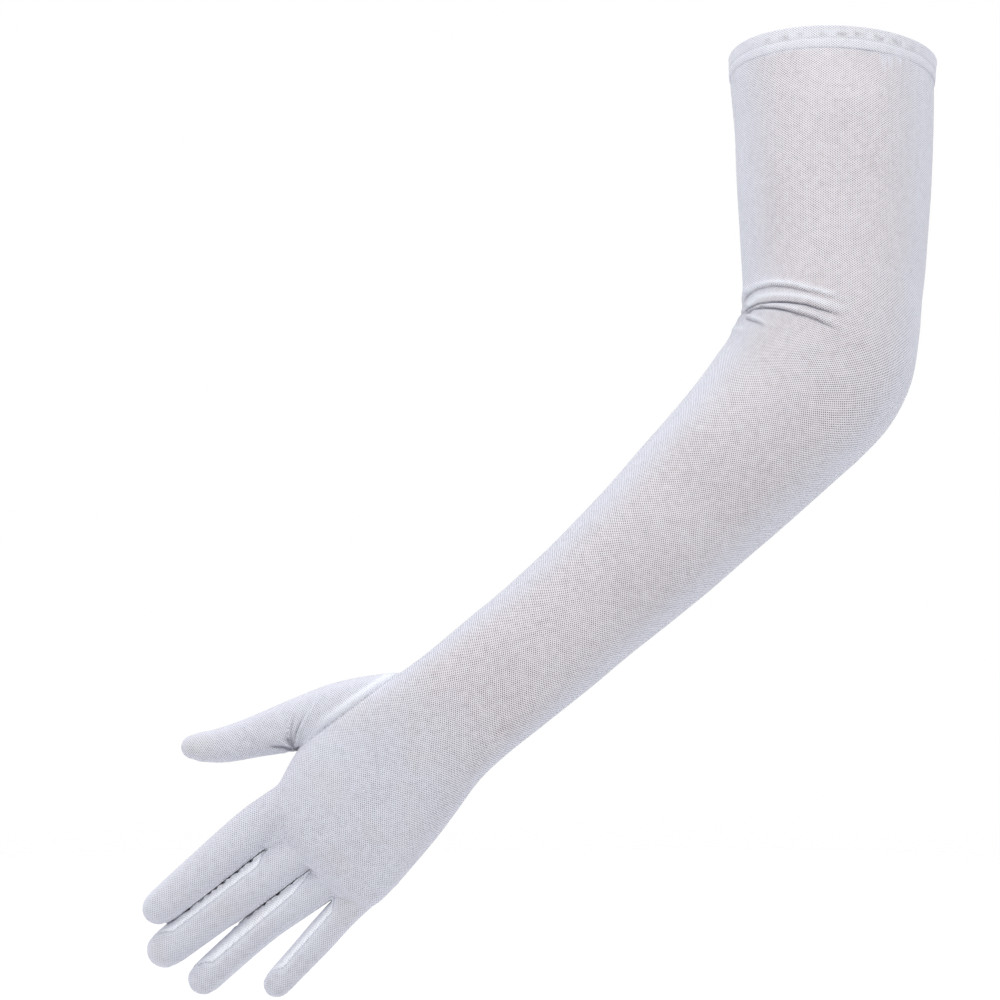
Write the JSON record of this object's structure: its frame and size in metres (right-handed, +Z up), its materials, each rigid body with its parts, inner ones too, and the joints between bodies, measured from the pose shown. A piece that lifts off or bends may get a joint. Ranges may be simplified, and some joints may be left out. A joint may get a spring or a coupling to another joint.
{
  "type": "long tulle glove",
  "caption": "Long see-through stretch glove for the left arm, with a stitched hem above the elbow, a set-in thumb and strips between the fingers.",
  "frame": {"origin": "centre of the cuff opening, where the upper arm goes in", "axes": "+Z up, away from the hanging hand; -Y towards the side that shows the back of the hand; the thumb side and the fingertips lie towards -X"},
  "size_m": [0.3672, 0.1154, 0.4437],
  "materials": {
    "tulle": "fine stretch net in cool white, a little see-through, with a soft sheen at its edges",
    "doubled_tulle": "the same net doubled over and stitched, so it is whiter and less see-through",
    "strip_tulle": "the same net in narrow strips with small stitches along both edges"
  },
  "bodies": {
    "root": {"trank": "tulle", "hem_band": "doubled_tulle", "thumb": "tulle", "fourchette_index_middle": "strip_tulle", "fourchette_middle_ring": "strip_tulle", "fourchette_ring_little": "strip_tulle"}
  },
  "joints": []
}
